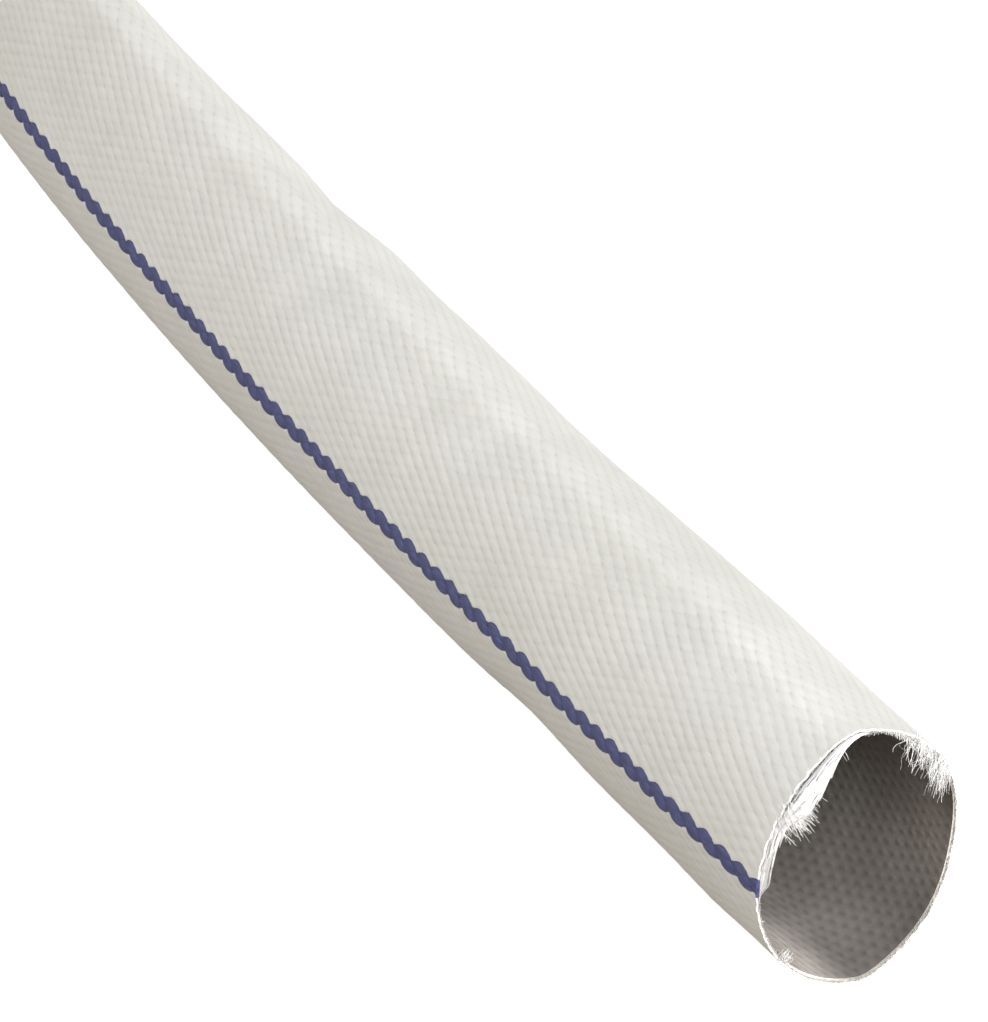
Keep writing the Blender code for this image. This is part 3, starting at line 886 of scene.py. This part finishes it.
def pad_point(share, turn, size):
    """World points round the lock: size 1 is its surface, and its own plane leans into the opening."""
    share, turn, size = np.broadcast_arrays(share, turn, size)
    half_width, half_height, depth, forward = pad_size(share)
    across, up = half_width * size * np.cos(turn), half_height * size * np.sin(turn)
    depth = depth + across * math.cos(LOCK_LEAN) - up * math.sin(LOCK_LEAN)
    forward = forward + across * math.sin(LOCK_LEAN) + up * math.cos(LOCK_LEAN)
    under_film = -np.maximum(depth, 0.0) - WALL + WALL_AT_CUT
    at_cut = hose_point(np.zeros(share.shape), share * PERIMETER, under_film)
    at_cut[..., 0] += forward
    return at_cut


def make_lock(materials):
    """The lock's body under the loose filaments, which runs along the edge; its dark colour is painted shade.
    """
    sides = 60
    share = np.arange(0.258, 0.522, 0.0016)[:, None]
    turn = 2 * PI * np.arange(sides) / sides
    swing = 1.1 * np.sin(share * 61) + 0.7 * np.sin(share * 143)
    size = 0.84
    for times, swung in ((5, 1.0), (11, -1.7), (17, 2.0)):
        size = size + 0.03 * np.sin(times * turn + swung * swing)
    points = pad_point(share, turn, size)
    quads, caps = tube_faces(1, len(share), sides)
    picks = share[:, 0] * PERIMETER / 0.003
    weave = grid_weave(picks, np.linspace(0.0, 12.0, sides + 1), np.zeros(len(share)))
    return make_piece("frayed_edge", points, quads, materials, caps, weave=weave)


def lock_filaments(rng, tows, count, first, last, length, lift):
    """Filaments on the lock in tows, nearly along the edge; the tows' tips come away from it."""
    t = np.linspace(0.0, 1.0, 11)
    tow = rng.integers(0, tows, count)

    def each_tow(low, high):
        return rng.uniform(low, high, tows)[tow][:, None]

    start = each_tow(first, last) + rng.normal(0.0, 0.0015, count)[:, None]
    reach = length * each_tow(0.45, 1.0) * rng.uniform(0.8, 1.05, count)[:, None] / PERIMETER
    turn = each_tow(-0.9, 2.6) + rng.normal(0.0, 0.06, count)[:, None] + each_tow(-0.5, 0.5) * t
    turn = turn + 0.15 * np.sin(5 * t + each_tow(0.0, 6.0))
    away = lift * each_tow(0.0, 1.0) ** 3
    size = 0.96 + rng.uniform(0.0, 0.16, count)[:, None] + away * t**2
    return pad_point(start - reach * t, turn, size)


def fibre_paths(rng, share, count, spread, length, curl, fall, wander):
    """Loose filaments from the cut edge: forwards out of the mouth, curling into the opening and falling."""
    t = np.linspace(0.0, 1.0, 11)[:, None]
    at = share * PERIMETER + rng.normal(0.0, spread, count)
    depth = rng.uniform(0.0001, 0.0011, count)
    start = hose_point(np.full(count, 0.0004), at, -depth)
    inner = hose_point(np.full(count, 0.0004), at, -depth - 0.01)
    inwards = unit(inner - start)
    forwards = np.array((1.0, 0.0, 0.0)) + rng.normal(0.0, 0.15, (count, 3))
    reach = (0.0004 + length * rng.uniform(0.3, 1.0, count))[:, None, None]
    bend = (curl * rng.uniform(0.2, 1.3, count))[:, None, None]
    drop = (fall * rng.uniform(0.2, 1.4, count))[:, None, None]
    sideways = rng.normal(0.0, wander, (count, 3))[:, None]
    wave = rng.normal(0.0, wander * 0.6, (count, 3))[:, None]
    phase = rng.uniform(0.0, 6.0, (count, 1, 1))
    path = start[:, None] + forwards[:, None] * reach * t
    path = path + inwards[:, None] * bend * t**1.6 - (0.0, 0.0, 1.0) * drop * t**2
    return path + sideways * t**1.5 + wave * (np.sin(5 * t + phase) - np.sin(phase))


def fray_plan():
    """(share of the way round, filaments, spread, length, curl, fall, wander) of each tuft."""
    plan = []
    for end in range(WARP_ENDS):
        share = (TRACER_AT + (end + 0.5) * END_WIDTH) / PERIMETER % 1.0
        front = math.exp(-(((share - 0.43) / 0.07) ** 2))
        back = math.exp(-(((share - 0.62) / 0.05) ** 2))
        count = 7 + int(14 * front + 34 * back)
        length = 0.00035 + 0.0007 * front + 0.0006 * back
        curl = 0.0002 + 0.0006 * front + 0.0010 * back
        plan.append((share, count, 0.0004, length, curl, 0.0001, 0.00012))
    plan += [
        (0.380, 110, 0.0008, 0.0018, 0.0034, 0.0022, 0.0006),
        (0.392, 110, 0.0009, 0.0020, 0.0036, 0.0014, 0.0005),
        (0.366, 40, 0.0007, 0.0012, 0.0026, 0.0026, 0.0006),
        (0.640, 150, 0.0014, 0.0012, 0.0020, 0.0014, 0.0006),
        (0.655, 110, 0.0009, 0.0012, 0.0022, 0.0032, 0.0005),
        (0.605, 40, 0.0010, 0.0010, 0.0030, 0.0006, 0.0009),
        (0.145, 60, 0.0005, 0.0008, 0.0012, -0.0006, 0.0003),
        (0.478, 3, 0.0002, 0.0010, 0.0046, 0.0004, 0.0004),
    ]
    return plan


def make_fray(materials):
    """The cut edge's loose filaments, as thin closed tubes."""
    rng = np.random.default_rng(31)
    paths = [
        lock_filaments(rng, 60, 1500, 0.385, 0.515, 0.011, 0.5),
        lock_filaments(rng, 24, 500, 0.29, 0.40, 0.009, 0.35),
    ]
    paths += [fibre_paths(rng, *tuft) for tuft in fray_plan()]
    paths = np.concatenate(paths)
    thickness = rng.uniform(0.00003, 0.00006, len(paths))[:, None]
    radii = thickness * np.linspace(1.15, 0.55, paths.shape[1])
    points, quads, caps = tube_bundle(paths, radii, 3)
    return make_piece("frayed_ends", points, quads, materials, caps)


# ---- the ties

TIE_HALF = TIE_WIDTH / 2
TIE_BEVEL = 0.0003
TRACK_DEPTH = 0.0003
TRACK_RIB = 0.00012
TIE_STEP = 0.0011
TIE_CORNER_STEPS = 6

# (inset, depth) of the window on the head's top, and (inset, how far in, how far down) of its end faces.
HEAD_WINDOW = (0.0019, 0.0012)
HEAD_END = (0.0011, 0.0007, 0.0005)
HEAD_ROUNDING = 0.00045

# (sideways, height from the band's outer face) round half of its section, with the track in the outer face.
TIE_HALF_PROFILE = (
    (TIE_HALF - TIE_BEVEL, -TIE_THICKNESS),
    (TIE_HALF, -TIE_THICKNESS + TIE_BEVEL),
    (TIE_HALF, -TIE_BEVEL),
    (TIE_HALF - TIE_BEVEL, 0.0),
    (TIE_HALF - 0.0010, -0.00006),
    (TIE_HALF - 0.0013, -TRACK_DEPTH),
)
TIE_PROFILE = TIE_HALF_PROFILE + tuple((-sideways, height) for sideways, height in TIE_HALF_PROFILE[::-1])


def rounded_loop(low, high, corner, steps):
    """Points and outward directions of a rounded rectangle in the plane of a spoke."""
    turns = PI / 2 * (np.arange(4)[:, None] + np.arange(steps + 1) / steps)
    normals = np.stack((np.cos(turns), np.sin(turns)), axis=-1)
    corners = np.array(((1, 1), (-1, 1), (-1, -1), (1, -1)))[:, None]
    points = (high + low) / 2 + ((high - low) / 2 - corner) * corners + corner * normals
    return points.reshape(-1, 2), normals.reshape(-1, 2)


def make_tie(number, materials):
    """One nylon tie: a band with bevelled edges and a ribbed track, and its ratchet head on top."""
    angle = math.radians(TIE_ANGLES[number - 1])
    core = CORE_RADIUS + ROLL_PITCH * (1 - angle / (2 * PI))
    rim = outer_radius(angle)
    low = np.array((core - TIE_GAP - TIE_THICKNESS, TIE_GAP / 2))
    high = np.array((rim + TIE_GAP + TIE_THICKNESS, FLAT_HEIGHT + TIE_STANDS_PROUD))
    loop, normals = rounded_loop(low, high, TIE_CORNER, TIE_CORNER_STEPS)
    places = []
    for place, following, normal in zip(loop, np.roll(loop, -1, axis=0), normals):
        pieces = max(1, int(np.linalg.norm(following - place) / TIE_STEP))
        places += [(place + (following - place) * i / pieces, normal) for i in range(pieces)]
    centre, outwards, onwards = roll_frame()
    spoke = math.cos(angle) * outwards + math.sin(angle) * onwards
    beside = np.array((-spoke[1], spoke[0]))
    rows = []
    for index, (place, normal) in enumerate(places):
        ring = []
        for sideways, inset in TIE_PROFILE:
            rib = TRACK_RIB if index % 2 == 0 and inset == -TRACK_DEPTH else 0.0
            radial, up = place + normal * (inset + rib)
            ground = centre + spoke * radial + beside * sideways
            ring.append((*ground, up))
        rows.append(ring)
    quads = grid_quads(len(rows), len(TIE_PROFILE), rows_close=True)
    band = make_piece(f"tie_band_{number}", np.array(rows), quads, materials)
    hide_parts(f"cable_tie_{number}")
    head = make_tie_head(number, materials)
    ground = centre + spoke * (rim - TIE_HEAD_INSET)
    turned = Matrix.Rotation(math.atan2(spoke[1], spoke[0]), 4, "Z")
    head.data.transform(Matrix.Translation((*ground, FLAT_HEIGHT + TIE_GAP)) @ turned)


def make_tie_head(number, materials):
    """The ratchet head: a rounded block with a pawl window on top and a slot in each end."""
    mesh = bmesh.new()
    bmesh.ops.create_cube(mesh, size=1.0)
    bmesh.ops.scale(mesh, vec=TIE_HEAD, verts=mesh.verts)
    bmesh.ops.translate(mesh, vec=(0, 0, TIE_HEAD[2] / 2), verts=mesh.verts)
    top = max(mesh.faces, key=lambda face: face.calc_center_median().z)
    bmesh.ops.inset_region(mesh, faces=[top], thickness=HEAD_WINDOW[0])
    bmesh.ops.translate(mesh, vec=(0, 0, -HEAD_WINDOW[1]), verts=top.verts)
    outermost = TIE_HEAD[0] / 2 - 0.0002
    for face in [face for face in mesh.faces if abs(face.calc_center_median().x) > outermost]:
        bmesh.ops.inset_region(mesh, faces=[face], thickness=HEAD_END[0])
        inwards = -math.copysign(HEAD_END[1], face.calc_center_median().x)
        bmesh.ops.translate(mesh, vec=(inwards, 0, -HEAD_END[2]), verts=face.verts)
    bmesh.ops.recalc_face_normals(mesh, faces=mesh.faces)
    data = bpy.data.meshes.new(f"tie_head_{number}")
    mesh.to_mesh(data)
    mesh.free()
    data.shade_smooth()
    data.set_sharp_from_angle(angle=math.radians(40))
    for material in materials:
        data.materials.append(material)
    head = add_object(f"tie_head_{number}", data)
    rounding = head.modifiers.new("rounding", "BEVEL")
    rounding.width = HEAD_ROUNDING
    rounding.segments = 3
    rounding.angle_limit = math.radians(35)
    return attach(head, "root")


# ---- camera, light and floor

FLOOR_HALF = 5.0


def make_camera():
    """The long-lens camera that matches the photo, looking down from one side and rolled."""
    data = bpy.data.cameras.new("camera")
    data.sensor_width = 36
    data.lens = CAMERA_LENS
    data.clip_end = 20
    camera = add_object("camera", data)
    az, el = CAMERA_AZIMUTH, CAMERA_ELEVATION
    back = Vector((math.sin(az) * math.cos(el), -math.cos(az) * math.cos(el), math.sin(el)))
    right = Vector((math.cos(az), math.sin(az), 0.0))
    level = Matrix((right, back.cross(right), back)).transposed().to_4x4()
    aim = Vector((MOUTH[0], MOUTH[1], 0.0)) + CAMERA_AIM
    place = Matrix.Translation(aim + back * CAMERA_DISTANCE)
    camera.matrix_world = place @ level @ Matrix.Rotation(CAMERA_ROLL, 4, "Z")
    bpy.context.scene.camera = camera


def make_light(name, place, target, size, power):
    """A soft round lamp that shines on a target."""
    data = bpy.data.lights.new(name, "AREA")
    data.shape = "DISK"
    data.size = size
    data.energy = power
    light = add_object(name, data)
    light.location = place
    light.rotation_euler = (Vector(target) - Vector(place)).to_track_quat("-Z", "Y").to_euler()


def make_surroundings():
    """The white studio: its lamps, the floor that shows, and the floor that lights the hose from below."""
    scene = bpy.context.scene
    scene.view_settings.view_transform = "Standard"
    world = bpy.data.worlds.new("studio")
    scene.world = world
    world.use_nodes = True
    background = world.node_tree.nodes["Background"]
    background.inputs["Color"].default_value = (1.0, 1.0, 1.0, 1.0)
    background.inputs["Strength"].default_value = 0.25
    for light in LIGHTS:
        make_light(*light)
    shown = make_floor("floor", -0.0003, floor_material())
    for ray in ("diffuse", "glossy", "transmission", "shadow"):
        setattr(shown, "visible_" + ray, False)
    bounce = make_floor("floor_bounce", -0.0010, bounce_material())
    bounce.visible_camera = False


def make_floor(name, height, material):
    """A square floor at this height, staged so that it isn't part of the object."""
    mesh = bpy.data.meshes.new(name)
    corners = [(x * FLOOR_HALF, y * FLOOR_HALF, height) for x, y in ((-1, -1), (1, -1), (1, 1), (-1, 1))]
    mesh.from_pydata(corners, [], [(0, 1, 2, 3)])
    mesh.materials.append(material)
    floor = add_object(name, mesh)
    return floor


# ---- the whole scene


def declare_hose():
    """Works out stations, places and half heights along the free end, from the roll to its bare cut end, and
    does nothing with them.
    """
    stations = np.linspace(FREE_LENGTH, 0.0, 60)
    x, y = (np.interp(stations, ROUTE[0], column) for column in ROUTE[1:3])
    half_height = outline(stations, np.zeros_like(stations), 0.0)[2]


def main():
    make_camera()
    polyester = polyester_material()
    lining = lining_material()
    blue = tracer_material()
    jacket = make_jacket([polyester, cut_material()])
    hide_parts("woven_jacket")
    film = make_lining([lining])
    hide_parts("inner_lining")
    free_tracer = make_free_tracer([blue])
    roll_tracer = make_roll_tracer([blue])
    for piece in (free_tracer, roll_tracer):
        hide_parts("tracer_yarns")
    fray = make_fray([fray_material()])
    lock = make_lock([lock_material()])
    declare_hose()
    roll = make_roll([polyester, lining])
    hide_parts("hose_roll")
    nylon = nylon_material()
    for number in range(1, len(TIE_ANGLES) + 1):
        make_tie(number, [nylon])
    make_surroundings()


main()
